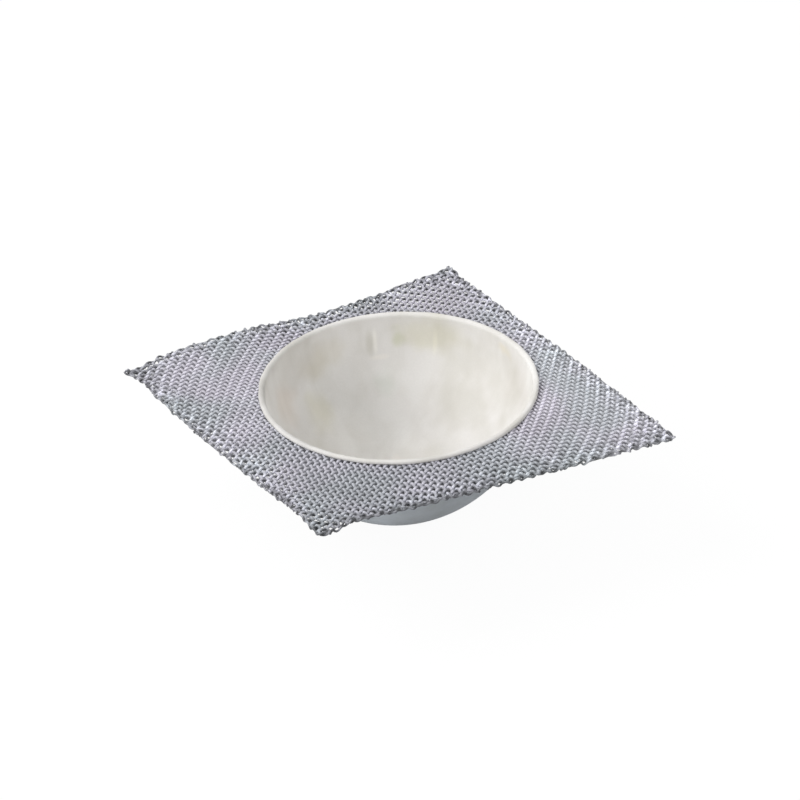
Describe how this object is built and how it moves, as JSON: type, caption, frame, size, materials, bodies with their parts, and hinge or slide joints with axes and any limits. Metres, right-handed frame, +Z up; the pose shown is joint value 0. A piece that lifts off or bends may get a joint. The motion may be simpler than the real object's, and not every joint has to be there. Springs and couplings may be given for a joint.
{
  "type": "wire gauze with ceramic dish",
  "caption": "Square of woven steel wire cloth with a round-bottomed ceramic dish set in its middle, for holding a round flask over a burner.",
  "frame": {"origin": "middle of the flat spot under the dish, on the dish's own axis", "axes": "+Z up along the dish's axis; the sides of the square cloth run roughly along X and Y"},
  "size_m": [0.1614, 0.1614, 0.0594],
  "materials": {
    "wire": "zinc-coated wire, slightly dulled",
    "ceramic": "unglazed, fine matt grain"
  },
  "bodies": {
    "root": {"wire_gauze": "wire", "ceramic_dish": "ceramic"}
  },
  "joints": []
}
